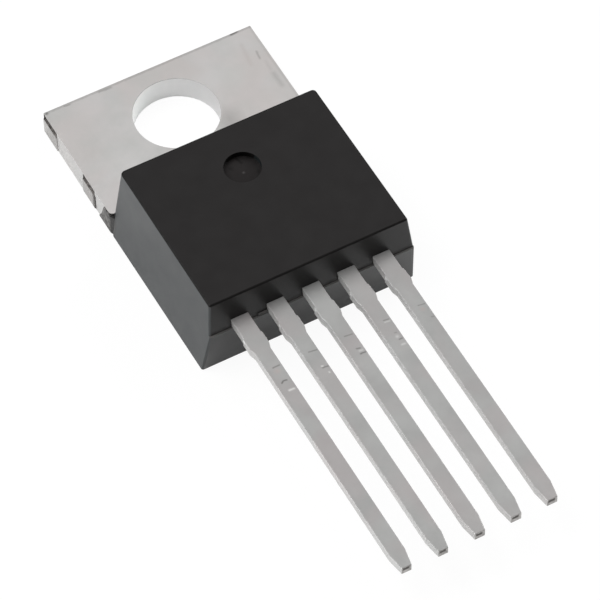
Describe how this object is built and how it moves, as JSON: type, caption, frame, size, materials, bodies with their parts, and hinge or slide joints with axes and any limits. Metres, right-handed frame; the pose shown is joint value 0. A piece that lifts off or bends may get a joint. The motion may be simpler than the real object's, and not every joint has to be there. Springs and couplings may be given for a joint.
{
  "type": "voltage regulator",
  "caption": "Through-hole voltage regulator: black moulded body, tin-plated heat sink tab with a mounting hole, and a row of straight flat leads.",
  "frame": {"origin": "centre of the mounting hole on the back face of the heat sink", "axes": "+Z out of the top of the moulding, leads along -Y, X across the package"},
  "size_m": [0.0104, 0.0295, 0.0044],
  "materials": {
    "tinned_copper": "matte tin plating over copper",
    "black_resin": "fine matte moulding resin, charcoal black",
    "solder": "dull grey solder",
    "silicon": "polished blue-grey silicon",
    "aluminium_wire": "smooth drawn wire"
  },
  "bodies": {
    "root": {"heat_sink_and_lead_3": "tinned_copper", "lead_1": "tinned_copper", "lead_2": "tinned_copper", "lead_4": "tinned_copper", "lead_5": "tinned_copper", "die_solder": "solder", "die": "silicon", "bond_wire_1a": "aluminium_wire", "bond_wire_1b": "aluminium_wire", "bond_wire_2a": "aluminium_wire", "bond_wire_2b": "aluminium_wire", "bond_wire_3": "aluminium_wire", "bond_wire_4": "aluminium_wire", "bond_wire_5": "aluminium_wire", "mould_body": "black_resin"}
  },
  "joints": []
}
